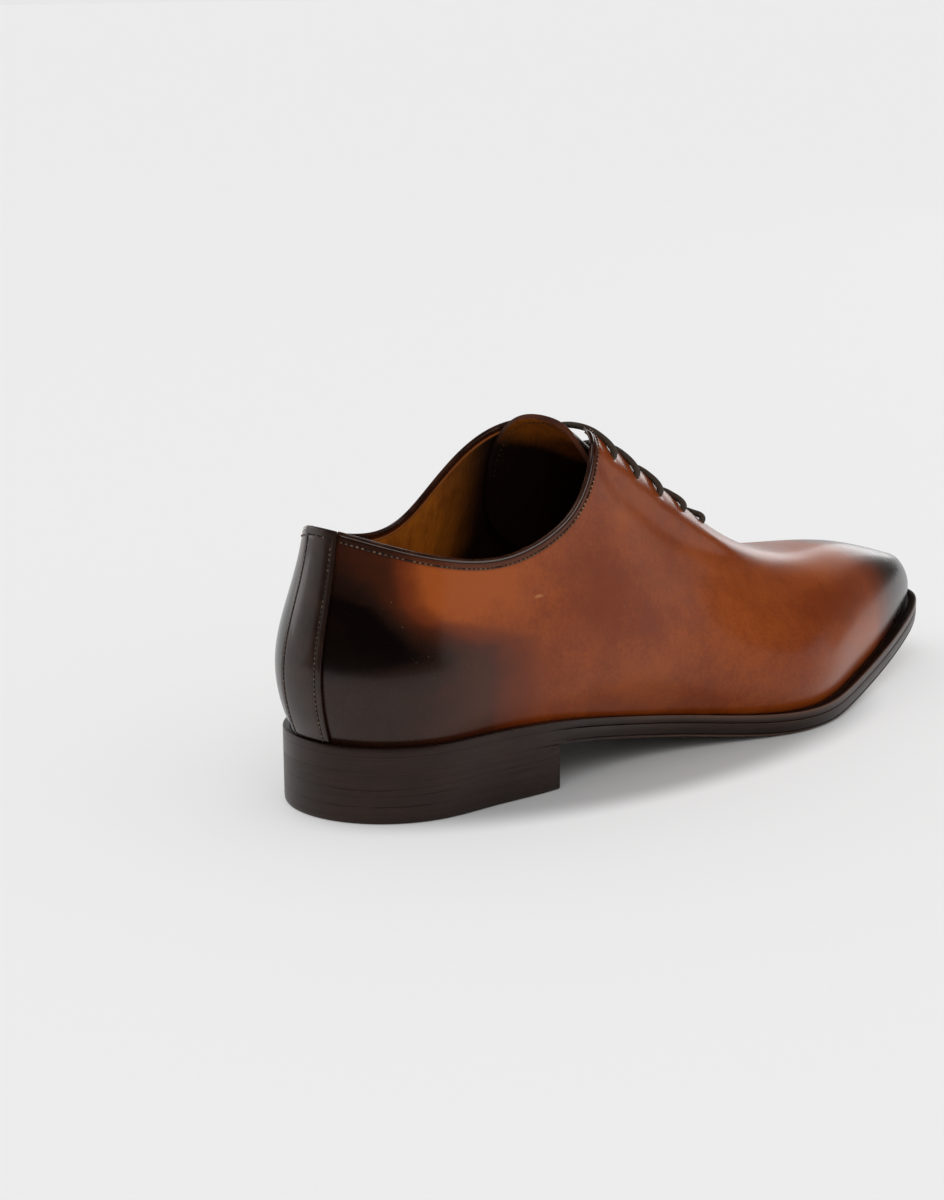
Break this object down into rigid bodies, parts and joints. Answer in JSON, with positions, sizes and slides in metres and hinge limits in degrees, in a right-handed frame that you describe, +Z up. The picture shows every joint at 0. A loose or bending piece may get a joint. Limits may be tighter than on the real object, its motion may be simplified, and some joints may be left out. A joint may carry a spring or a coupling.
{
  "type": "wholecut oxford shoe",
  "caption": "Right-foot wholecut oxford dress shoe: a hollow one-piece leather upper with closed lacing, back strip, tongue and insole on a welted leather sole with a stacked heel.",
  "frame": {"origin": "centre of the bounding box, at the floor under the sole", "axes": "+X from the heel to the toe, +Y from the outer to the inner side of the foot, +Z up"},
  "size_m": [0.3134, 0.1039, 0.1159],
  "materials": {
    "upper_leather": "polished cognac calf leather",
    "strip_leather": "polished dark brown calf leather",
    "lining_leather": "matt tan lining leather",
    "edge_leather": "satin dark dyed and waxed sole leather",
    "lace_cord": "waxed dark brown round cord"
  },
  "bodies": {
    "root": {"upper": "upper_leather", "back_strip": "strip_leather", "topline_bead_lateral": "strip_leather", "topline_bead_medial": "strip_leather", "tongue": "lining_leather", "lace": "lace_cord", "insole": "lining_leather", "welt": "edge_leather", "outsole": "edge_leather", "heel_lift_upper": "edge_leather", "heel_lift_lower": "edge_leather", "heel_top_lift": "edge_leather"}
  },
  "joints": []
}
